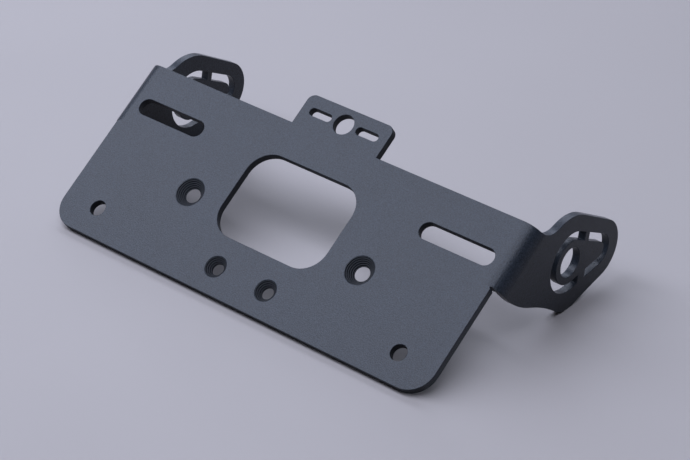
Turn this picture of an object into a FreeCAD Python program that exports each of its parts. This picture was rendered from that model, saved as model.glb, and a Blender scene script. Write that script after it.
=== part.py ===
import FreeCAD, Part
import math
import os
from collections import namedtuple
from enum import IntEnum
from types import SimpleNamespace

import Sketcher

# Bracket folded from one laser cut sheet: a flat plate with a tab, a window, screw holes and
# slots, and a swept ear folded back along each upper side. The ear carries an indicator hole,
# with slits round it that leave a break-out piece held by two bridges.
# The plate is drawn upright: X across, Y up, Z out of its front face, and zero is the middle
# of its lower front edge. "up" is a height above that edge, "across" a distance from the
# middle and "back" a distance behind the front face.

SIZES = [
    ("thickness", 3.5, "sheet"),
    ("bend_inside", 4.0, "inside radius of the folds"),
    ("plate_width", 200.0, "lower part of the plate"),
    ("plate_top", 81.7, "upper edge of the plate"),
    ("plate_corner", 11.2, "radius of the lower corners"),
    ("ear_offset", 4.2, "outer face of an ear, from the plate's side"),
    ("fold_low", 52.0, "lower end of the folds"),
    ("relief_radius", 0.6, "round relief cut at the lower end of each fold"),
    ("tab_width", 45.0, "tab on the upper edge"),
    ("tab_top", 96.8, "upper edge of the tab"),
    ("tab_corner", 3.5, "radius of the tab's corners"),
    ("window_width", 56.6, ""),
    ("window_height", 40.7, ""),
    ("window_up", 45.7, "middle of the window"),
    ("window_corner", 11.4, "radius of its corners"),
    ("tab_row_up", 89.4, "row of the tab's hole and slots"),
    ("tab_hole_radius", 4.65, ""),
    ("tab_slot_across", 12.4, "middle of a tab slot"),
    ("tab_slot_run", 7.8, "between the centres of its ends"),
    ("tab_slot_radius", 1.8, ""),
    ("long_slot_across", 76.4, "middle of a long slot"),
    ("long_slot_up", 62.2, ""),
    ("long_slot_run", 28.35, "between the centres of its ends"),
    ("long_slot_radius", 3.875, ""),
    ("corner_hole_across", 81.2, "plain hole in a lower corner"),
    ("corner_hole_up", 12.7, ""),
    ("corner_hole_radius", 3.6, ""),
    ("large_screw_across", 45.6, "countersunk hole beside the window"),
    ("large_screw_up", 35.9, ""),
    ("large_screw_bore", 6.6, "diameter"),
    ("large_screw_head", 13.2, "diameter of the countersink at the face"),
    ("small_screw_across", 13.5, "countersunk hole below the window"),
    ("small_screw_up", 11.9, ""),
    ("small_screw_bore", 5.3, "diameter"),
    ("small_screw_head", 9.9, "diameter of the countersink at the face"),
    ("head_angle", 90.0, "full angle of the countersinks"),
    ("lamp_back", 35.2, "centre of the indicator hole"),
    ("lamp_up", 85.2, ""),
    ("lamp_radius", 6.5, ""),
    ("island_ring", 9.7, "radius of the break-out piece round the indicator hole"),
    ("tip_behind", 14.5, "centre of its narrow end, behind the indicator hole"),
    ("tip_above", 14.4, "and above it"),
    ("island_tip", 3.6, "radius of its narrow end"),
    ("slit_width", 3.6, "slits round the break-out piece"),
    ("bridge_start", 8.1, "near sides of the bridges, from the indicator hole's centre"),
    ("upper_bridge", 3.1, "width of the bridge above"),
    ("lower_bridge", 4.6, "width of the bridge below"),
    ("shoulder_ahead", 1.7, "round shoulder, ahead of the indicator hole"),
    ("shoulder_below", 1.4, "and below it"),
    ("shoulder_radius", 20.7, ""),
    ("end_behind", 15.2, "round end of the ear, behind the indicator hole"),
    ("end_above", 14.7, "and above it"),
    ("end_radius", 13.3, ""),
    ("heel_behind", 7.5, "round heel that the ear rests on, behind the indicator hole"),
    ("heel_below", 5.0, "and below it"),
    ("heel_radius", 13.3, ""),
    ("belly_radius", 76.0, "shallow hollow in the ear's lower edge"),
    ("root_radius", 45.0, "start of the ear's lower edge"),
]

TOUCHING = 1e-6


class Turn(IntEnum):
    """Way that an arc turns as an outline is followed."""

    LEFT = 1
    RIGHT = -1


class Spot(IntEnum):
    """Points of a line or an arc, as a sketch numbers them."""

    START = 1
    END = 2
    CENTRE = 3


class Axis(IntEnum):
    """A sketch's own axes, as it numbers them."""

    ACROSS = -1
    UP = -2


LEFT, RIGHT = Turn.LEFT, Turn.RIGHT
START, END, CENTRE = Spot.START, Spot.END, Spot.CENTRE
ORIGIN = (Axis.ACROSS, START)


class Length:
    """A number with the expression on the sheet's cells that gives it, or none where the
    sketch works it out from what the shape touches."""

    def __init__(self, number, text=None):
        self.number = number
        self.text = text

    def __add__(self, other):
        return Length(self.number + other.number, "(%s + %s)" % (self.text, other.text))

    def __sub__(self, other):
        return Length(self.number - other.number, "(%s - %s)" % (self.text, other.text))

    def half(self):
        return Length(self.number / 2, "(%s / 2)" % self.text)


doc = FreeCAD.newDocument("folded_plate")
sheet = doc.addObject("Spreadsheet::Sheet", "sizes")
for row, (alias, number, note) in enumerate(SIZES, start=1):
    sheet.set("A%d" % row, alias)
    sheet.set("B%d" % row, str(number))
    sheet.set("C%d" % row, note)
    sheet.setAlias("B%d" % row, alias)
doc.recompute()

size = SimpleNamespace(**{name: Length(number, "sizes." + name) for name, number, note in SIZES})
bend_outside = size.bend_inside + size.thickness
plate_side = size.plate_width.half()
fold_line = plate_side + size.ear_offset - bend_outside
tip_up, tip_back = size.lamp_up + size.tip_above, size.lamp_back + size.tip_behind
end_up, end_back = size.lamp_up + size.end_above, size.lamp_back + size.end_behind
heel_up, heel_back = size.lamp_up - size.heel_below, size.lamp_back + size.heel_behind
shoulder_up = size.lamp_up - size.shoulder_below
shoulder_back = size.lamp_back - size.shoulder_ahead
ear_reach = end_back + size.end_radius
ear_top = end_up + size.end_radius

body = doc.addObject("PartDesign::Body", "folded_plate")
body.Label = "folded_plate"


def origin_plane(role):
    """One of the body's own planes."""
    return [part for part in body.Origin.OriginFeatures if part.Role == role][0]


def new_sketch(name, role):
    """Sketch on one of the body's own planes."""
    sketch = body.newObject("Sketcher::SketchObject", name)
    sketch.AttachmentSupport = [(origin_plane(role), "")]
    sketch.MapMode = "FlatFace"
    return sketch


def fix(sketch, kind, references, length):
    """Dimension in a sketch, bound to the sheet where the length has an expression."""
    if length.text is None:
        return
    constraint = Sketcher.Constraint(kind, *references, length.number)
    index = sketch.addConstraint(constraint)
    sketch.setExpression("Constraints[%d]" % index, length.text)


def relate(sketch, kind, *references):
    """Relation in a sketch that has no size."""
    sketch.addConstraint(Sketcher.Constraint(kind, *references))


def fix_along(sketch, kind, point, length, side):
    """Distance of a point from the sketch's zero, on its positive or negative side."""
    ends = ORIGIN + point if side > 0 else point + ORIGIN
    fix(sketch, kind, ends, length)


def fix_across(sketch, point, length, side=1):
    fix_along(sketch, "DistanceX", point, length, side)


def fix_up(sketch, point, length, side=1):
    fix_along(sketch, "DistanceY", point, length, side)


def circle(sketch, x, y, radius):
    """Full circle, with its radius bound."""
    shape = Part.Circle(FreeCAD.Vector(x, y, 0), FreeCAD.Vector(0, 0, 1), radius.number)
    index = sketch.addGeometry(shape, False)
    fix(sketch, "Radius", (index,), radius)
    return index


Piece = namedtuple("Piece", "index first last heading_in heading_out straight")


class Outline:
    """Closed outline in a sketch: lines and arcs drawn end to end, then joined."""

    def __init__(self, sketch):
        self.sketch = sketch
        self.pieces = []

    def line(self, start, end):
        ends = [FreeCAD.Vector(x, y, 0) for x, y in (start, end)]
        index = self.sketch.addGeometry(Part.LineSegment(*ends), False)
        heading = math.atan2(end[1] - start[1], end[0] - start[0])
        self.pieces.append(Piece(index, START, END, heading, heading, True))
        return index

    def arc(self, centre, radius, start, end, turn):
        """Arc round a centre from start to end, turning LEFT or RIGHT on the way."""
        angles = [math.atan2(y - centre[1], x - centre[0]) for x, y in (start, end)]
        low, high = angles if turn == LEFT else reversed(angles)
        if high < low:
            high += 2 * math.pi
        full = Part.Circle(FreeCAD.Vector(*centre, 0), FreeCAD.Vector(0, 0, 1), radius.number)
        index = self.sketch.addGeometry(Part.ArcOfCircle(full, low, high), False)
        fix(self.sketch, "Radius", (index,), radius)
        headings = [angle + turn * math.pi / 2 for angle in angles]
        ends = (START, END) if turn == LEFT else (END, START)
        self.pieces.append(Piece(index, *ends, *headings, False))
        return index

    def close(self):
        """Join each piece to the next, and make round pieces run smoothly into straight ones."""
        for piece, following in zip(self.pieces, self.pieces[1:] + self.pieces[:1]):
            in_line = abs(math.sin(piece.heading_out - following.heading_in)) < TOUCHING
            both_straight = piece.straight and following.straight
            kind = "Tangent" if in_line and not both_straight else "Coincident"
            ends = (piece.index, piece.last, following.index, following.first)
            relate(self.sketch, kind, *ends)


def tangent(first, second):
    """Ends of the straight run from one round to the next, each given as (x, y, radius, turn)."""
    x_run = second[0] - first[0]
    y_run = second[1] - first[1]
    opening = (first[3] * first[2] - second[3] * second[2]) / math.hypot(x_run, y_run)
    heading = math.atan2(y_run, x_run) + math.asin(opening)
    aside = (math.sin(heading), -math.cos(heading))
    return [(x + turn * radius * aside[0], y + turn * radius * aside[1])
            for x, y, radius, turn in (first, second)]


def pocket(name, sketch, along_normal=False):
    """Cut a sketch's outlines right through, on one side of its plane."""
    cut = body.newObject("PartDesign::Pocket", name)
    cut.Profile = sketch
    cut.Type = "ThroughAll"
    cut.Reversed = along_normal
    body.Tip = cut
    return cut


def pad(name, sketch, length):
    """Solid from a sketch's outline, on the far side of its plane's normal."""
    solid = body.newObject("PartDesign::Pad", name)
    solid.Profile = sketch
    solid.Reversed = True
    solid.setExpression("Length", length.text)
    body.Tip = solid
    return solid


def flat_plate():
    """Plate and tab, as wide as the flat part of the sheet between the folds."""
    sketch = new_sketch("plate_outline", "XY_Plane")
    side, fold, tab = plate_side.number, fold_line.number, size.tab_width.number / 2
    low, top, tab_top = size.fold_low.number, size.plate_top.number, size.tab_top.number
    half = [(side, 0), (side, low), (fold, low), (fold, top), (tab, top), (tab, tab_top)]
    points = half + [(-x, y) for x, y in reversed(half)]
    outline = Outline(sketch)
    edges = [outline.line(start, end) for start, end in zip(points, points[1:] + points[:1])]
    outline.close()
    for number, edge in enumerate(edges[:len(half) - 1]):
        relate(sketch, "Horizontal" if number % 2 else "Vertical", edge)
    for edge, mirrored in zip(edges[:len(half)], reversed(edges)):
        relate(sketch, "Symmetric", edge, START, mirrored, START, Axis.UP)
    relate(sketch, "PointOnObject", edges[0], START, Axis.ACROSS)
    for edge, across in zip(edges[0::2], (plate_side, fold_line, size.tab_width.half())):
        fix_across(sketch, (edge, START), across)
    for edge, up in zip(edges[0::2], (size.fold_low, size.plate_top, size.tab_top)):
        fix_up(sketch, (edge, END), up)
    return pad("plate", sketch, size.thickness)


def round_corners(name, base, radius, corners):
    """Fillet the edges that run through the sheet at the given corners, on both sides."""
    doc.recompute()
    picked = []
    for number, edge in enumerate(base.Shape.Edges, start=1):
        ends = [vertex.Point for vertex in edge.Vertexes]
        through = abs(ends[0].z - ends[-1].z) > TOUCHING
        for x, y in corners:
            here = all(math.hypot(abs(end.x) - x, end.y - y) < TOUCHING for end in ends)
            if through and here:
                picked.append("Edge%d" % number)
    fillet = body.newObject("PartDesign::Fillet", name)
    fillet.Base = (base, picked)
    fillet.setExpression("Radius", radius.text)
    body.Tip = fillet
    return fillet


def wing_blank():
    """Right fold and untrimmed ear: a quarter bend and a straight leg, drawn from above."""
    sketch = new_sketch("fold_section", "XZ_Plane")
    sketch.setExpression("AttachmentOffset.Base.z", "-" + size.fold_low.text)
    outer, inner = bend_outside.number, size.bend_inside.number
    fold, reach = fold_line.number, ear_reach.number
    centre = (fold, -outer)
    outline = Outline(sketch)
    seam = outline.line((fold, inner - outer), (fold, 0))
    outside = outline.arc(centre, bend_outside, (fold, 0), (fold + outer, -outer), RIGHT)
    outer_face = outline.line((fold + outer, -outer), (fold + outer, -reach))
    far_end = outline.line((fold + outer, -reach), (fold + inner, -reach))
    inner_face = outline.line((fold + inner, -reach), (fold + inner, -outer))
    corner = (fold + inner, -outer), (fold, inner - outer)
    inside = outline.arc(centre, size.bend_inside, *corner, LEFT)
    outline.close()
    for upright in (seam, outer_face, inner_face):
        relate(sketch, "Vertical", upright)
    relate(sketch, "Horizontal", far_end)
    relate(sketch, "Vertical", seam, END, outside, CENTRE)
    relate(sketch, "Coincident", outside, CENTRE, inside, CENTRE)
    fix_across(sketch, (outside, CENTRE), fold_line)
    fix_up(sketch, (outside, CENTRE), bend_outside, -1)
    fix_up(sketch, (outer_face, END), ear_reach, -1)
    return pad("wing", sketch, ear_top - size.fold_low)


def contact(first, second):
    """Place where two rounds that turn opposite ways touch."""
    share = first[2] / (first[2] + second[2])
    return tuple(a + share * (b - a) for a, b in zip(first[:2], second[:2]))


def hollow_centre(first, second, radius):
    """Centre of the hollow of a given radius that touches two rounds, on their lower side."""
    to_first, to_second = first[2] + radius, second[2] + radius
    x_run, y_run = second[0] - first[0], second[1] - first[1]
    apart = math.hypot(x_run, y_run)
    turn = math.acos((to_first ** 2 + apart ** 2 - to_second ** 2) / (2 * to_first * apart))
    heading = math.atan2(y_run, x_run) - turn
    return first[0] + to_first * math.cos(heading), first[1] + to_first * math.sin(heading)


def neck_size(top, back, shoulder):
    """Radius of the hollow that leaves the plate's upper edge squarely and meets the shoulder."""
    x_run, y_run = shoulder[0] - top, shoulder[1] + back
    return (x_run ** 2 + y_run ** 2 - shoulder[2] ** 2) / (2 * (shoulder[2] + x_run))


def ear_trim():
    """Cut away what lies outside the ear's outline, drawn as six arcs. The hollows touch the
    rounds beside them, and straight runs join the rounds."""
    sketch = new_sketch("ear_outline", "YZ_Plane")
    sketch.setExpression("AttachmentOffset.Base.z", fold_line.text)
    low, top, spare = size.fold_low.number, size.plate_top.number, size.thickness.number
    start, finish = (low, -spare), (top, -spare)
    root, heel, end, shoulder = [
        (up, back, radius, LEFT) for up, back, radius in (
            (size.fold_low + size.root_radius, size.thickness, size.root_radius),
            (heel_up, heel_back, size.heel_radius),
            (end_up, end_back, size.end_radius),
            (shoulder_up, shoulder_back, size.shoulder_radius),
        )]

    def plain(up, back, radius, turn):
        return up.number, -back.number, radius.number, turn

    x, y = hollow_centre(plain(*root), plain(*heel), size.belly_radius.number)
    belly = (Length(x), Length(-y), size.belly_radius, RIGHT)
    neck_radius = neck_size(top, spare, plain(*shoulder))
    neck = (Length(top + neck_radius), size.thickness, Length(neck_radius), RIGHT)
    rounds = [root, belly, heel, end, shoulder, neck]
    runs = []
    for pair in zip(rounds, rounds[1:]):
        first, second = [plain(*one) for one in pair]
        straight = first[3] == second[3]
        runs.append(tangent(first, second) if straight else [contact(first, second)] * 2)
    arrivals = [start] + [run[1] for run in runs]
    departures = [run[0] for run in runs] + [finish]

    outline = Outline(sketch)
    arcs = []
    leaving = start
    for (up, back, radius, turn), arrival, departure in zip(rounds, arrivals, departures):
        if leaving != arrival:
            outline.line(leaving, arrival)
        centre = (up.number, -back.number)
        arcs.append(outline.arc(centre, radius, arrival, departure, turn))
        leaving = departure
    high, deep = ear_top.number + spare, -ear_reach.number - spare
    frame = [finish, (top, spare), (high, spare), (high, deep), (low - spare, deep)]
    frame += [(low - spare, start[1]), start]
    sides = [outline.line(*ends) for ends in zip(frame, frame[1:])]
    outline.close()

    for arc, (up, back, radius, turn) in zip(arcs, rounds):
        fix_across(sketch, (arc, CENTRE), up)
        fix_up(sketch, (arc, CENTRE), back, -1)
    relate(sketch, "Horizontal", arcs[0], START, arcs[0], CENTRE)
    for number, side in enumerate(sides):
        relate(sketch, "Horizontal" if number % 2 else "Vertical", side)
    fix_across(sketch, (sides[0], START), size.plate_top)
    fix_up(sketch, (sides[1], START), size.thickness)
    fix_across(sketch, (sides[2], START), ear_top + size.thickness)
    fix_up(sketch, (sides[3], START), ear_reach + size.thickness, -1)
    fix_across(sketch, (sides[4], START), size.fold_low - size.thickness)
    return pocket("ear_edge", sketch, along_normal=True)


def ear_openings():
    """Indicator hole, and the two slits that part the break-out piece from the ear."""
    sketch = new_sketch("ear_slits", "YZ_Plane")
    sketch.setExpression("AttachmentOffset.Base.z", fold_line.text)
    lamp = (size.lamp_up.number, -size.lamp_back.number)
    tip = (tip_up.number, -tip_back.number)
    axis = sketch.addGeometry(Part.LineSegment(FreeCAD.Vector(*lamp), FreeCAD.Vector(*tip)), True)
    for end, up, back in (START, size.lamp_up, size.lamp_back), (END, tip_up, tip_back):
        fix_across(sketch, (axis, end), up)
        fix_up(sketch, (axis, end), back, -1)
    hole = circle(sketch, *lamp, size.lamp_radius)
    relate(sketch, "Coincident", hole, CENTRE, axis, START)

    def cut_off(run, distance):
        """Point of a straight run at a distance from the indicator hole, along the axis."""
        reach = math.dist(lamp, tip)
        along = [((x - lamp[0]) * (tip[0] - lamp[0]) + (y - lamp[1]) * (tip[1] - lamp[1])) / reach
                 for x, y in run]
        part = (distance.number - along[0]) / (along[1] - along[0])
        return tuple(first + part * (last - first) for first, last in zip(*run))

    def slit(near, far, near_radius, far_radius, arriving_at, leaving_at, end):
        """Slit round one end of the axis, returning its four straight edges."""
        outline = Outline(sketch)
        edges = []
        caps = []
        for wider in (size.slit_width, None):
            here = near_radius + wider if wider else near_radius
            there = far_radius + wider if wider else far_radius
            arriving = tangent((*far, there.number, LEFT), (*near, here.number, LEFT))
            leaving = tangent((*near, here.number, LEFT), (*far, there.number, LEFT))
            begin = cut_off(arriving, arriving_at)
            finish = cut_off(leaving, leaving_at)
            if wider:
                first_corner = begin
                edges.append(outline.line(begin, arriving[1]))
                arc = outline.arc(near, here, arriving[1], leaving[0], LEFT)
                edges.append(outline.line(leaving[0], finish))
                corner = finish
            else:
                caps.append(outline.line(corner, finish))
                edges.append(outline.line(finish, leaving[0]))
                arc = outline.arc(near, here, leaving[0], arriving[1], RIGHT)
                edges.append(outline.line(arriving[1], begin))
                caps.append(outline.line(begin, first_corner))
            relate(sketch, "Coincident", arc, CENTRE, axis, end)
        outline.close()
        for cap, distance in zip(caps, (leaving_at, arriving_at)):
            relate(sketch, "Perpendicular", cap, axis)
            fix(sketch, "Distance", (axis, START, cap), distance)
        return edges

    ring, narrow, begin = size.island_ring, size.island_tip, size.bridge_start
    round_lamp = slit(lamp, tip, ring, narrow, begin, begin, START)
    past_bridges = (begin + size.lower_bridge, begin + size.upper_bridge)
    round_tip = slit(tip, lamp, narrow, ring, *past_bridges, END)
    facing = [round_tip[number] for number in (1, 0, 3, 2)]
    for edge, in_line_with in zip(round_lamp, facing):
        relate(sketch, "Tangent", edge, in_line_with)
    return pocket("ear_holes", sketch, along_normal=True)


def level_slot(sketch, across, up, run, radius):
    """Slot with round ends, one beside the other."""
    y, r = up.number, radius.number
    inner, outer = across - run.half(), across + run.half()
    near, far = inner.number, outer.number
    outline = Outline(sketch)
    outline.line((near, y - r), (far, y - r))
    outer_end = outline.arc((far, y), radius, (far, y - r), (far, y + r), LEFT)
    outline.line((far, y + r), (near, y + r))
    inner_end = outline.arc((near, y), radius, (near, y + r), (near, y - r), LEFT)
    outline.close()
    for arc, centre_across in (outer_end, outer), (inner_end, inner):
        fix_across(sketch, (arc, CENTRE), centre_across)
        fix_up(sketch, (arc, CENTRE), up)


def round_opening(sketch, across, up, radius):
    """Circle with its centre and its radius bound."""
    hole = circle(sketch, across.number, up.number, radius)
    fix_across(sketch, (hole, CENTRE), across)
    fix_up(sketch, (hole, CENTRE), up)


def side_openings():
    """Slots and plain hole on the right of the plate, and the relief cut in its side."""
    sketch = new_sketch("side_slots", "XY_Plane")
    tab_slot = (size.tab_slot_across, size.tab_row_up, size.tab_slot_run, size.tab_slot_radius)
    level_slot(sketch, *tab_slot)
    long_slot = (size.long_slot_across, size.long_slot_up, size.long_slot_run)
    level_slot(sketch, *long_slot, size.long_slot_radius)
    relief_up = size.fold_low - size.relief_radius.half()
    round_opening(sketch, plate_side, relief_up, size.relief_radius)
    corner_hole = (size.corner_hole_across, size.corner_hole_up, size.corner_hole_radius)
    round_opening(sketch, *corner_hole)
    return pocket("side_holes", sketch)


def countersunk_hole(name, across, up, bore, head):
    """Screw hole on the right of the plate, countersunk in the front face."""
    sketch = new_sketch(name + "_place", "XY_Plane")
    round_opening(sketch, across, up, bore.half())
    doc.recompute()
    hole = body.newObject("PartDesign::Hole", name)
    hole.Profile = sketch
    hole.ThreadType = "None"
    hole.DepthType = "ThroughAll"
    hole.HoleCutType = "Countersink"
    hole.HoleCutCustomValues = True
    hole.setExpression("Diameter", bore.text)
    hole.setExpression("HoleCutDiameter", head.text)
    hole.setExpression("HoleCutCountersinkAngle", size.head_angle.text)
    body.Tip = hole
    return hole


def middle_openings():
    """Window with round corners, and the hole in the tab above it."""
    sketch = new_sketch("window_outline", "XY_Plane")
    radius = size.window_corner
    out = size.window_width.half() - radius
    rise = size.window_height.half() - radius
    levels = {1: size.window_up + rise, -1: size.window_up - rise}
    outline = Outline(sketch)
    r = radius.number
    corners = [(1, 1), (-1, 1), (-1, -1), (1, -1)]
    touches = []
    for side, level in corners:
        x, y = side * out.number, levels[level].number
        beside, over = (x + side * r, y), (x, y + level * r)
        touches.append(((x, y), *((beside, over) if side == level else (over, beside))))
    arcs = []
    for number, (centre, first, last) in enumerate(touches):
        arcs.append(outline.arc(centre, radius, first, last, LEFT))
        outline.line(last, touches[(number + 1) % len(touches)][1])
    outline.close()
    for arc, (side, level) in zip(arcs, corners):
        fix_across(sketch, (arc, CENTRE), out, side)
        fix_up(sketch, (arc, CENTRE), levels[level])
    hole = circle(sketch, 0, size.tab_row_up.number, size.tab_hole_radius)
    relate(sketch, "PointOnObject", hole, CENTRE, Axis.UP)
    fix_up(sketch, (hole, CENTRE), size.tab_row_up)
    return pocket("window", sketch)


def lay_down():
    """Turn the part so that it rests on its heels and its lower back edge, front upward."""
    back = heel_back.number - size.thickness.number
    up = heel_up.number
    floor = math.atan2(up, back) - math.asin(size.heel_radius.number / math.hypot(up, back))
    lean = 90 - math.degrees(floor)
    body.Placement = FreeCAD.Placement(
        FreeCAD.Vector(0, 0, 0), FreeCAD.Rotation(FreeCAD.Vector(1, 0, 0), lean))
    doc.recompute()
    box = body.Shape.optimalBoundingBox(False, False)
    middle = -(box.YMin + box.YMax) / 2
    body.Placement.Base = FreeCAD.Vector(0, middle, -box.ZMin)
    doc.recompute()


plate = flat_plate()
tab_corners = [(size.tab_width.number / 2, size.tab_top.number)]
rounded_tab = round_corners("tab_corners", plate, size.tab_corner, tab_corners)
lower_corners = [(plate_side.number, 0)]
round_corners("plate_corners", rounded_tab, size.plate_corner, lower_corners)

right_side = [
    wing_blank(),
    ear_trim(),
    ear_openings(),
    side_openings(),
    countersunk_hole("large_screw", size.large_screw_across, size.large_screw_up,
                     size.large_screw_bore, size.large_screw_head),
    countersunk_hole("small_screw", size.small_screw_across, size.small_screw_up,
                     size.small_screw_bore, size.small_screw_head),
]
left_side = body.newObject("PartDesign::Mirrored", "left_side")
left_side.Originals = right_side
left_side.MirrorPlane = (origin_plane("YZ_Plane"), [""])
body.Tip = left_side
doc.recompute()
middle_openings()
doc.recompute()
lay_down()

for item in doc.Objects:
    if {"Invalid", "Error"} & set(item.State):
        raise RuntimeError(item.Name + " did not build")
for cut in body.Group:
    if cut.TypeId in ("PartDesign::Pocket", "PartDesign::Hole"):
        if cut.BaseFeature.Shape.Volume - cut.Shape.Volume < 1:
            raise RuntimeError(cut.Name + " cut nothing")
if body.Shape.isNull() or not body.Shape.isValid() or len(body.Shape.Solids) != 1:
    raise RuntimeError("the plate is not one sound solid")

os.makedirs("parts", exist_ok=True)
body.Shape.exportStep("parts/folded_plate.step")
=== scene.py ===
"""The looks of a tail tidy: one folded sheet with two swept ears, coated in dark powder.

Lengths are metres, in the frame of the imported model. The plate leans back, so its own
axes (across, up the sheet, out of the front face) are turned about the frame's X axis.
"""
import logging
from dataclasses import dataclass, field
from enum import Enum
from math import cos, hypot, radians, sin, tau

import bmesh
import bpy
from mathutils import Matrix, Quaternion, Vector


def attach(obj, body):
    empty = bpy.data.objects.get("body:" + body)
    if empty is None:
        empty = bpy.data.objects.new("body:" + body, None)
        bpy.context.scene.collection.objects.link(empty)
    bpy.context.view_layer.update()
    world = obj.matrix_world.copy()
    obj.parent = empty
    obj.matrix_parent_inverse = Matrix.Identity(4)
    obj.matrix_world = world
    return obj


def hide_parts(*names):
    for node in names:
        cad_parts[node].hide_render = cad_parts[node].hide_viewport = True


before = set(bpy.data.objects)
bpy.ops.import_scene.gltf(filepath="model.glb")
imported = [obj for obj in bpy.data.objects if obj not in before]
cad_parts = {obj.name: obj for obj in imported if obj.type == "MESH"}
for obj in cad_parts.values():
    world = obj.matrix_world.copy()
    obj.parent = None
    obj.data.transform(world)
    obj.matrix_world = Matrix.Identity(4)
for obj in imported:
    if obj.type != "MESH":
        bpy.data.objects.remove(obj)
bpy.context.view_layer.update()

log = logging.getLogger("tail_tidy")

MM = 0.001
RIGHT_ANGLE = 90
Colour = tuple[float, float, float]
Point = tuple[float, float, float]
Socket = bpy.types.NodeSocket
Value = float | Socket

# Places of the Mix node's colour sockets, whose names its other kinds share.
MIX_SHARE, MIX_FIRST, MIX_SECOND, MIX_RESULT = 0, 6, 7, 2


class Solid(Enum):
    """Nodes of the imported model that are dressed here."""

    FOLDED_PLATE = "folded_plate"


class Body(Enum):
    """Bodies that pieces ride on."""

    ROOT = "root"


class Slot(Enum):
    """Material slots of the record."""

    POWDER_COAT = "powder_coat"


@dataclass(frozen=True)
class SheetAxes:
    """Where the plate's own axes lie in the frame.

    The origin is the middle of the lower edge of the front face.
    """

    lean: float = radians(34.61679628657803)
    origin: Point = (0.0, -0.06207309, 0.00288039)

    def locate(self, point: Vector) -> Vector:
        """Gives a point of the frame in the plate's own axes."""
        return Matrix.Rotation(-self.lean, 3, "X") @ (point - Vector(self.origin))


@dataclass(frozen=True)
class Recess:
    """A pair of countersunk screw holes, one on each side of the middle.

    Attributes:
        across: How far each hole is from the middle.
        up: How far up the sheet they are.
        head_radius: Radius of the rim at the front face.
        bore_radius: Radius of the straight bore behind the cone.
    """

    across: float
    up: float
    head_radius: float
    bore_radius: float


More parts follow.
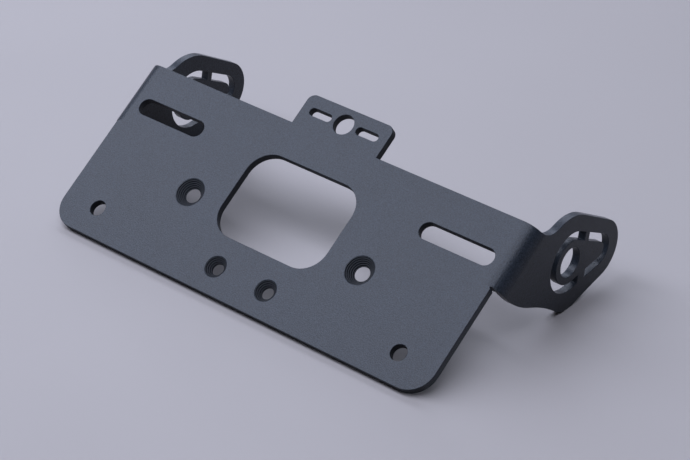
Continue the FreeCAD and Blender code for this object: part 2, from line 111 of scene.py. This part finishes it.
class Nodes:
    """Adds shader nodes to one material or world and links them."""

    def __init__(self, tree: bpy.types.NodeTree) -> None:
        """Starts with an empty tree.

        Args:
            tree: The node tree that the nodes go into.
        """
        self.tree = tree
        tree.nodes.clear()

    def add(self, kind: str, **settings: object) -> bpy.types.Node:
        """Adds one node.

        Args:
            kind: The node's type name, without its ShaderNode part.
            **settings: Properties set on the node.

        Returns:
            The new node.
        """
        node = self.tree.nodes.new("ShaderNode" + kind)
        for name, value in settings.items():
            setattr(node, name, value)
        return node

    def feed(self, socket: Socket, value: object) -> None:
        """Gives a socket its value.

        Args:
            socket: The input socket.
            value: A number, a colour or a vector, or the socket that it comes from.
        """
        if isinstance(value, Socket):
            self.tree.links.new(value, socket)
        else:
            socket.default_value = value

    def sum(self, operation: str, *values: Value, clamp: bool = False) -> Socket:
        """Works out one number from others.

        Args:
            operation: The name of the Math node's operation.
            *values: Its operands.
            clamp: Whether the result is kept between 0 and 1.

        Returns:
            The result's socket.
        """
        node = self.add("Math", operation=operation, use_clamp=clamp)
        for socket, value in zip(node.inputs, values):
            self.feed(socket, value)
        return node.outputs[0]

    def length(self, x: Socket, y: Socket) -> Socket:
        """Gives the length of a flat step from its two parts."""
        x_squared, y_squared = (self.sum("MULTIPLY", part, part) for part in (x, y))
        return self.sum("SQRT", self.sum("ADD", x_squared, y_squared))

    def split(self, place: Socket) -> tuple[Socket, Socket, Socket]:
        """Gives the three numbers of a set of coordinates.

        Args:
            place: The coordinates.

        Returns:
            The sockets of x, y and z.
        """
        node = self.add("SeparateXYZ")
        self.feed(node.inputs[0], place)
        return tuple(node.outputs)

    def ramp(self, value: Value, start: Value, end: Value,
             low: Value = 0.0, high: Value = 1.0) -> Socket:
        """Turns a range of numbers into another, with smooth ends.

        Args:
            value: The number that varies.
            start: Where it gives low.
            end: Where it gives high.
            low: The result at start and before.
            high: The result at end and beyond.

        Returns:
            The result's socket.
        """
        node = self.add("MapRange", interpolation_type="SMOOTHSTEP")
        for socket, given in zip(node.inputs, (value, start, end, low, high)):
            self.feed(socket, given)
        return node.outputs[0]

    def noise(self, where: Socket, size: float, detail: float = 2.0,
              roughness: float = 0.5) -> Socket:
        """Adds a noise pattern.

        Args:
            where: The coordinates that it follows, in metres.
            size: How large its spots are, in metres.
            detail: How many finer patterns are laid over it.
            roughness: How strong the finer patterns are.

        Returns:
            The socket of its strength, from 0 to 1.
        """
        node = self.add("TexNoise")
        self.feed(node.inputs["Vector"], where)
        self.feed(node.inputs["Scale"], 1.0 / size)
        self.feed(node.inputs["Detail"], detail)
        self.feed(node.inputs["Roughness"], roughness)
        return node.outputs["Fac"]

    def blend(self, share: Value, first: Colour, second: Colour) -> Socket:
        """Mixes two colours.

        Args:
            share: How much of the second colour there is, from 0 to 1.
            first: The colour at 0.
            second: The colour at 1.

        Returns:
            The mixed colour's socket.
        """
        node = self.add("Mix", data_type="RGBA")
        self.feed(node.inputs[MIX_SHARE], share)
        for place, colour in ((MIX_FIRST, first), (MIX_SECOND, second)):
            self.feed(node.inputs[place], (*colour, 1.0))
        return node.outputs[MIX_RESULT]

    def bump(self, height: Socket, depth: float, over: Socket | None = None) -> Socket:
        """Turns a height into a shading normal.

        Args:
            height: The height pattern, from 0 to 1.
            depth: The height of a full step, in metres.
            over: The normal of a relief that this one is laid on.

        Returns:
            The normal's socket.
        """
        node = self.add("Bump")
        self.feed(node.inputs["Distance"], depth)
        self.feed(node.inputs["Height"], height)
        if over is not None:
            self.feed(node.inputs["Normal"], over)
        return node.outputs["Normal"]

    def looked_at(self) -> Socket:
        """Tells a ray that shows something from one that only lights it.

        Returns:
            The socket of a share, 1 for camera rays and for those that are mirrored or
            let through, and 0 for the rest.
        """
        rays = self.add("LightPath").outputs
        mirrored = self.sum("ADD", rays["Is Glossy Ray"], rays["Is Transmission Ray"])
        return self.sum("ADD", rays["Is Camera Ray"], mirrored, clamp=True)


@dataclass(frozen=True)
class PowderCoat:
    """Fine-textured dark powder coat, with the cutter's rings in the screw recesses and
    painted shade that darkens the cut walls.

    Attributes:
        name: The material's name.
        dark: Colour of the pits of the grain.
        pale: Colour of the peaks of the grain.
        grain: Size of the grain.
        grain_depth: Height of the grain.
        grain_range: Strengths of the grain's noise that count as pit and as peak.
        grain_share: Share of the tone that the grain gives. The cloud gives the rest.
        cloud: Size of the slow change of tone.
        index: Refractive index of the resin.
        roughness: Roughness in the pits.
        roughness_spread: How much rougher the peaks are.
        ring_pitch: Distance from one ring of the cutter to the next.
        ring_depth: Height of the rings.
        ring_fade: How far past a recess's rim its rings fade out.
        thickness: Thickness of the sheet.
        face_margin: How far under each face a cut wall starts to show and shows in full.
        flat_reach: How far from the middle the flat sheet ends.
        flat_fade: Width of the change there from flat sheet to fold.
        painted_wall_shade: How much of the pale tone the cut walls lose, as painted
            shade.
        wall_roughness: How much rougher the cut walls are.
        mark_pitch: Distance from one mark of the cut to the next.
        mark_stretch: How much the marks are drawn out through the thickness.
        mark_depth: Height of the marks.
    """

    name: str = "fine_textured_powder_coat"
    dark: Colour = (0.006, 0.007, 0.009)
    pale: Colour = (0.037, 0.046, 0.061)
    grain: float = 0.5 * MM
    grain_depth: float = 0.10 * MM
    grain_range: tuple[float, float] = (0.30, 0.70)
    grain_share: float = 0.75
    cloud: float = 22 * MM
    index: float = 1.33
    roughness: float = 0.28
    roughness_spread: float = 0.08
    ring_pitch: float = 0.62 * MM
    ring_depth: float = 0.20 * MM
    ring_fade: float = 0.2 * MM
    thickness: float = 3.5 * MM
    face_margin: tuple[float, float] = (0.10 * MM, 0.30 * MM)
    flat_reach: float = 96.5 * MM
    flat_fade: float = 3 * MM
    painted_wall_shade: float = 0.7
    wall_roughness: float = 0.26
    mark_pitch: float = 0.35 * MM
    mark_stretch: float = 0.06
    mark_depth: float = 0.05 * MM

    def rings(self, nodes: Nodes, place: Socket, recesses: tuple[Recess, ...]) -> Socket:
        """Draws the cutter's rings in the screw recesses.

        Args:
            nodes: The material's nodes.
            place: Coordinates in the sheet's own axes.
            recesses: The recesses that have rings.

        Returns:
            The socket of the rings' height, flat outside the recesses.
        """
        x_across, y_up, _ = nodes.split(place)
        across = nodes.sum("ABSOLUTE", x_across)
        total: Value = 0.0
        for recess in recesses:
            x = nodes.sum("SUBTRACT", across, recess.across)
            y = nodes.sum("SUBTRACT", y_up, recess.up)
            radius = nodes.length(x, y)
            wave = nodes.sum("SINE", nodes.sum("MULTIPLY", radius, tau / self.ring_pitch))
            rim = recess.head_radius
            near = nodes.ramp(radius, rim + self.ring_fade, rim)
            total = nodes.sum("ADD", total, nodes.sum("MULTIPLY", wave, near))
        return nodes.sum("MULTIPLY", total, self.walls(nodes, place))

    def walls(self, nodes: Nodes, place: Socket) -> Socket:
        """Finds the walls that are cut through the flat sheet.

        Args:
            nodes: The material's nodes.
            place: Coordinates in the sheet's own axes.

        Returns:
            The socket of a share, 1 on the walls and 0 on the sheet's two faces.
        """
        x_across, _, out = nodes.split(place)
        start, full = self.face_margin
        below_face = nodes.ramp(out, -start, -full)
        above_back = nodes.ramp(out, start - self.thickness, full - self.thickness)
        on_flat = nodes.ramp(nodes.sum("ABSOLUTE", x_across),
                             self.flat_reach + self.flat_fade, self.flat_reach)
        between = nodes.sum("MULTIPLY", below_face, above_back)
        return nodes.sum("MULTIPLY", between, on_flat)

    def cut_marks(self, nodes: Nodes, place: Socket) -> Socket:
        """Draws the fine marks that the cut leaves through the sheet's thickness.

        Args:
            nodes: The material's nodes.
            place: Coordinates in the sheet's own axes.

        Returns:
            The socket of the marks' height, flat on the sheet's two faces.
        """
        drawn_out = nodes.add("Mapping", vector_type="POINT")
        nodes.feed(drawn_out.inputs["Vector"], place)
        nodes.feed(drawn_out.inputs["Scale"], (1.0, 1.0, self.mark_stretch))
        marks = nodes.noise(drawn_out.outputs[0], self.mark_pitch, detail=1.0)
        return nodes.sum("MULTIPLY", marks, self.walls(nodes, place))

    def make(self, axes: SheetAxes,
             recesses: tuple[Recess, ...]) -> bpy.types.Material:
        """Makes the coat's material.

        Args:
            axes: Where the sheet's own axes lie.
            recesses: The screw recesses that show the cutter's rings.

        Returns:
            The material.
        """
        material = bpy.data.materials.new(self.name)
        material.use_nodes = True
        nodes = Nodes(material.node_tree)
        where = nodes.add("TexCoord").outputs["Object"]
        sheet = nodes.add("Mapping", vector_type="TEXTURE")
        nodes.feed(sheet.inputs["Vector"], where)
        nodes.feed(sheet.inputs["Location"], axes.origin)
        nodes.feed(sheet.inputs["Rotation"], (axes.lean, 0.0, 0.0))
        place = sheet.outputs[0]
        wall = self.walls(nodes, place)
        grain = nodes.noise(where, self.grain, detail=3.0, roughness=0.6)
        cloud = nodes.noise(where, self.cloud, detail=2.0)
        speckle = nodes.ramp(grain, *self.grain_range)
        tone = nodes.sum("ADD", nodes.sum("MULTIPLY", speckle, self.grain_share),
                         nodes.sum("MULTIPLY", cloud, 1 - self.grain_share))
        # Painted shade: the cut walls keep only part of the pale tone, so they read
        # darker than the faces.
        kept = nodes.ramp(wall, 0.0, 1.0, 1.0, 1 - self.painted_wall_shade)
        painted_shade_tone = nodes.sum("MULTIPLY", tone, kept)
        shader = nodes.add("BsdfPrincipled")
        nodes.feed(shader.inputs["Base Color"], nodes.blend(painted_shade_tone, self.dark, self.pale))
        least = nodes.ramp(wall, 0.0, 1.0, self.roughness,
                           self.roughness + self.wall_roughness)
        spread = nodes.sum("MULTIPLY", tone, self.roughness_spread)
        nodes.feed(shader.inputs["Roughness"], nodes.sum("ADD", spread, least))
        nodes.feed(shader.inputs["IOR"], self.index)
        rings = nodes.bump(self.rings(nodes, place, recesses), self.ring_depth)
        marks = nodes.bump(self.cut_marks(nodes, place), self.mark_depth, over=rings)
        relief = nodes.bump(grain, self.grain_depth, over=marks)
        nodes.feed(shader.inputs["Normal"], relief)
        output = nodes.add("OutputMaterial")
        nodes.feed(output.inputs["Surface"], shader.outputs[0])
        return material


@dataclass
class FoldedPlate:
    """The folded sheet: plate, tab, folds and ears, with the coat's soft edges.

    Attributes:
        edge_radius: Radius of the coat over a cut edge.
        edge_segments: Faces across that round.
        sharp_angle: Turn between two faces from which their edge is rounded.
        flat_angle: Turn up to which two faces count as one flat face.
        merge_distance: Distance within which the solid's loose points are one point.
        weld_distance: Distance within which the rounded edges' points are one point.
        fold_end: Where the lower end of the right fold meets the flat sheet.
        relief_middle: Middle of the right relief cut.
        relief_radius: Radius of the relief cuts.
        relief_margin: How far round the relief edges stay crisp, in its radii.
        lip_margin: How near an edge is to the bore of a deep recess to be its lip.
        face_weight: How far large faces outweigh small ones in the shading, to 100.
        finish: The coat.
        axes: Where the sheet's own axes lie.
        recesses: The screw recesses, the deep pair first.
    """

    edge_radius: float = 0.20 * MM
    edge_segments: int = 3
    sharp_angle: float = radians(32)
    flat_angle: float = radians(0.4)
    merge_distance: float = 0.04 * MM
    weld_distance: float = 0.002 * MM
    fold_end: tuple[float, float] = (100 * MM, 52 * MM)
    relief_middle: tuple[float, float] = (100 * MM, 51.7 * MM)
    relief_radius: float = 0.6 * MM
    relief_margin: float = 1.25
    lip_margin: float = 0.08 * MM
    face_weight: int = 100
    finish: PowderCoat = field(default_factory=PowderCoat)
    axes: SheetAxes = field(default_factory=SheetAxes)
    recesses: tuple[Recess, ...] = (
        Recess(across=45.6 * MM, up=35.9 * MM,
               head_radius=6.6 * MM, bore_radius=3.3 * MM),
        Recess(across=13.5 * MM, up=11.9 * MM,
               head_radius=4.95 * MM, bore_radius=2.65 * MM),
    )

    def merged(self, solid: bpy.types.Object) -> bmesh.types.BMesh:
        """Copies the solid's mesh and joins its loose triangles into whole faces.

        Args:
            solid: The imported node.

        Returns:
            The joined copy.
        """
        shape = bmesh.new()
        shape.from_mesh(solid.data)
        bmesh.ops.remove_doubles(shape, verts=shape.verts[:], dist=self.merge_distance)
        bmesh.ops.dissolve_limit(shape, angle_limit=self.flat_angle,
                                 use_dissolve_boundaries=False,
                                 verts=shape.verts[:], edges=shape.edges[:])
        return shape

    def stays_crisp(self, edge: bmesh.types.BMEdge) -> bool:
        """Tells whether an edge is too finely set for the coat to round it.

        Those are the edges of the small relief cuts, of the step where the flat sheet
        meets the end of a fold, and of the thin lip under a deep screw recess.

        Args:
            edge: An edge of the sheet.

        Returns:
            True if the edge is left as it is cut.
        """
        ends = [self.axes.locate(v.co) for v in edge.verts]
        x, y, z = (ends[0] + ends[1]) / 2
        x = abs(x)
        relief = hypot(x - self.relief_middle[0], y - self.relief_middle[1])
        if relief < self.relief_radius * self.relief_margin:
            return True
        if abs(y - self.fold_end[1]) < self.merge_distance and x < self.fold_end[0]:
            return True
        lip = self.recesses[0]
        from_lip = hypot(x - lip.across, y - lip.up) - lip.bore_radius
        return z < -self.edge_radius and abs(from_lip) < self.lip_margin

    def soften(self, shape: bmesh.types.BMesh) -> None:
        """Rounds the sharp edges by the thickness that the coat builds there.

        Args:
            shape: The joined copy of the solid, which is changed.
        """
        sharp = [e for e in shape.edges
                 if e.is_manifold and e.calc_face_angle() > self.sharp_angle]
        crisp = [e for e in sharp if self.stays_crisp(e)]
        for edge in crisp:
            edge.smooth = False
        rounded = [edge for edge in sharp if edge.smooth]
        bmesh.ops.bevel(shape, geom=rounded, offset=self.edge_radius,
                        offset_type="OFFSET", segments=self.edge_segments,
                        affect="EDGES", profile=0.5, material=-1,
                        loop_slide=False, clamp_overlap=False)
        bmesh.ops.remove_doubles(shape, verts=shape.verts[:], dist=self.weld_distance)

    def build(self, solid: bpy.types.Object) -> bpy.types.Object:
        """Makes the finished piece.

        Args:
            solid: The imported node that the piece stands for.

        Returns:
            The piece, riding on its body.
        """
        shape = self.merged(solid)
        self.soften(shape)
        for face in shape.faces:
            face.smooth = True
        mesh = bpy.data.meshes.new("coated_plate")
        shape.to_mesh(mesh)
        shape.free()
        mesh.materials.append(self.finish.make(self.axes, self.recesses))
        piece = bpy.data.objects.new("coated_plate", mesh)
        bpy.context.scene.collection.objects.link(piece)
        shading = piece.modifiers.new("even_shading", "WEIGHTED_NORMAL")
        shading.mode = "FACE_AREA"
        shading.weight = self.face_weight
        shading.keep_sharp = True
        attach(piece, Body.ROOT.value)
        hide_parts(Solid.FOLDED_PLATE.value)
        return piece


@dataclass
class Floor:
    """A plain pale floor under the object, with a low backdrop curving up far from it.

    Attributes:
        reach: Radius of the flat part.
        cove: Radius of the curve up to the backdrop.
        cove_step: Turn of each strip of that curve, in degrees.
        sides: Sides of the floor's round outline.
        colour: Paler tone of the floor.
        shade: Darker tone of the floor.
        distant: Tone that the floor far from the lamps shows.
        mottle: Size of the change from one tone to the other.
        roughness: Roughness of the matt surface.
        fade: Distances from the middle between which the floor takes its distant tone.
    """

    reach: float = 5.0
    cove: float = 1.1
    cove_step: int = 15
    sides: int = 96
    colour: Colour = (0.358, 0.331, 0.323)
    shade: Colour = (0.343, 0.317, 0.309)
    distant: Colour = (0.415, 0.413, 0.495)
    mottle: float = 0.09
    roughness: float = 0.62
    fade: tuple[float, float] = (0.45, 1.4)

    def material(self) -> bpy.types.Material:
        """Makes the floor's matt material.

        The lamps light the floor round the object. Farther off it shows that same pale
        tone to the camera and in reflections, and sheds no light of its own.

        Returns:
            The material.
        """
        material = bpy.data.materials.new("pale_floor")
        material.use_nodes = True
        nodes = Nodes(material.node_tree)
        where = nodes.add("TexCoord").outputs["Object"]
        matt = nodes.add("BsdfPrincipled")
        tone = nodes.noise(where, self.mottle, detail=1.0)
        nodes.feed(matt.inputs["Base Color"], nodes.blend(tone, self.colour, self.shade))
        nodes.feed(matt.inputs["Roughness"], self.roughness)
        x, y, _ = nodes.split(where)
        far_off = nodes.ramp(nodes.length(x, y), *self.fade)
        glow = nodes.add("Emission")
        nodes.feed(glow.inputs["Color"], (*self.distant, 1.0))
        nodes.feed(glow.inputs["Strength"], 1.0)
        mix = nodes.add("MixShader")
        nodes.feed(mix.inputs[0], nodes.sum("MULTIPLY", far_off, nodes.looked_at()))
        nodes.feed(mix.inputs[1], matt.outputs[0])
        nodes.feed(mix.inputs[2], glow.outputs[0])
        output = nodes.add("OutputMaterial")
        nodes.feed(output.inputs["Surface"], mix.outputs[0])
        return material

    def build(self) -> bpy.types.Object:
        """Makes the floor at the height that the object stands on.

        Returns:
            The floor, with its backdrop round the rim.
        """
        shape = bmesh.new()
        bmesh.ops.create_circle(shape, cap_ends=True, segments=self.sides,
                                radius=self.reach)
        rim = shape.edges[:]
        turned = 0.0
        for step in range(self.cove_step, RIGHT_ANGLE + 1, self.cove_step):
            angle = radians(step)
            grown = bmesh.ops.extrude_edge_only(shape, edges=rim)["geom"]
            points = [part for part in grown if isinstance(part, bmesh.types.BMVert)]
            outward = ((self.reach + self.cove * sin(angle))
                       / (self.reach + self.cove * sin(turned)))
            lift = self.cove * (cos(turned) - cos(angle))
            bmesh.ops.scale(shape, vec=(outward, outward, 1.0), verts=points)
            bmesh.ops.translate(shape, vec=(0.0, 0.0, lift), verts=points)
            rim = [edge for edge in grown if isinstance(edge, bmesh.types.BMEdge)]
            turned = angle
        mesh = bpy.data.meshes.new("floor")
        shape.to_mesh(mesh)
        shape.free()
        mesh.materials.append(self.material())
        floor = bpy.data.objects.new("floor", mesh)
        bpy.context.scene.collection.objects.link(floor)
        return floor


@dataclass(frozen=True)
class SoftLamp:
    """A wide soft box that faces the object, with its long side along the plate.

    Attributes:
        name: The lamp's name.
        place: Where its middle hangs.
        width: Its long side.
        depth: Its short side.
        watts: Its power.
        colour: The colour of its light.
        aim: The point that it faces.
    """

    name: str
    place: Point
    width: float
    depth: float
    watts: float
    colour: Colour = (0.90, 0.969, 1.185)
    aim: Point = (0.0, 0.0, 0.03)

    def build(self) -> bpy.types.Object:
        """Hangs the lamp.

        Returns:
            The lamp.
        """
        lamp = bpy.data.lights.new(self.name, "AREA")
        lamp.shape = "RECTANGLE"
        lamp.size = self.width
        lamp.size_y = self.depth
        lamp.energy = self.watts
        lamp.color = self.colour
        hung = bpy.data.objects.new(self.name, lamp)
        back = (Vector(self.place) - Vector(self.aim)).normalized()
        up = back.cross(Vector((1.0, 0.0, 0.0))).normalized()
        along = up.cross(back)
        hung.matrix_world = (Matrix.Translation(self.place)
                             @ Matrix((along, up, back)).transposed().to_4x4())
        bpy.context.scene.collection.objects.link(hung)
        return hung


@dataclass(frozen=True)
class Surroundings:
    """The dim room around the object and its backdrop.

    Attributes:
        colour: The room's colour.
        light: How strongly it lights the object.
        seen: How bright it is where it shows.
    """

    colour: Colour = (0.93, 0.94, 1.0)
    light: float = 0.03
    seen: float = 0.06

    def build(self) -> None:
        """Makes the world, a little brighter where it shows than where it lights."""
        world = bpy.data.worlds.new("dim_room")
        world.use_nodes = True
        bpy.context.scene.world = world
        nodes = Nodes(world.node_tree)
        backdrop = nodes.add("Background")
        nodes.feed(backdrop.inputs["Color"], (*self.colour, 1.0))
        nodes.feed(backdrop.inputs["Strength"],
                   nodes.ramp(nodes.looked_at(), 0.0, 1.0, self.light, self.seen))
        output = nodes.add("OutputWorld")
        nodes.feed(output.inputs["Surface"], backdrop.outputs[0])


@dataclass(frozen=True)
class Viewpoint:
    """The camera, at the photograph's viewing angle.

    Attributes:
        place: Where the camera stands.
        facing: The direction that it looks in.
        roll: Its turn about that direction.
        focal_length: Its focal length, in millimetres.
        film_width: The width of its film, in millimetres.
        clip: The nearest and farthest distances that it shows.
    """

    place: Point = (0.54286935, -0.64464514, 0.53028466)
    facing: Point = (-0.54101892, 0.65580022, -0.52652123)
    roll: float = radians(-0.8475693)
    focal_length: float = 124.190
    film_width: float = 36.0
    clip: tuple[float, float] = (0.01, 50.0)

    def build(self) -> bpy.types.Object:
        """Places the camera and makes it the scene's own.

        Returns:
            The camera.
        """
        lens = bpy.data.cameras.new("viewpoint")
        lens.sensor_fit = "HORIZONTAL"
        lens.sensor_width = self.film_width
        lens.lens = self.focal_length
        lens.clip_start, lens.clip_end = self.clip
        camera = bpy.data.objects.new("viewpoint", lens)
        ahead = Vector(self.facing)
        turn = Quaternion(ahead, self.roll) @ ahead.to_track_quat("-Z", "Y")
        camera.matrix_world = Matrix.Translation(self.place) @ turn.to_matrix().to_4x4()
        bpy.context.scene.collection.objects.link(camera)
        bpy.context.scene.camera = camera
        return camera


LAMPS = (
    SoftLamp("overhead", place=(-0.31, -0.36, 1.08), width=2.5, depth=0.62, watts=24.0),
    SoftLamp("behind", place=(-0.55, 0.90, 0.80), width=1.6, depth=0.8, watts=9.5),
)


def main() -> None:
    """Builds the piece, the floor, the lamps and the camera, and reports the piece and
    each lamp.
    """
    logging.basicConfig(level=logging.INFO, format="%(name)s %(message)s")
    scene = bpy.context.scene
    scene.view_settings.view_transform = "Standard"
    Viewpoint().build()
    piece = FoldedPlate().build(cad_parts[Solid.FOLDED_PLATE.value])
    log.info("%s has %d faces", piece.name, len(piece.data.polygons))
    Floor().build()
    Surroundings().build()
    for lamp in LAMPS:
        log.info("lamp %s", lamp.build().name)


if __name__ == "__main__":
    main()
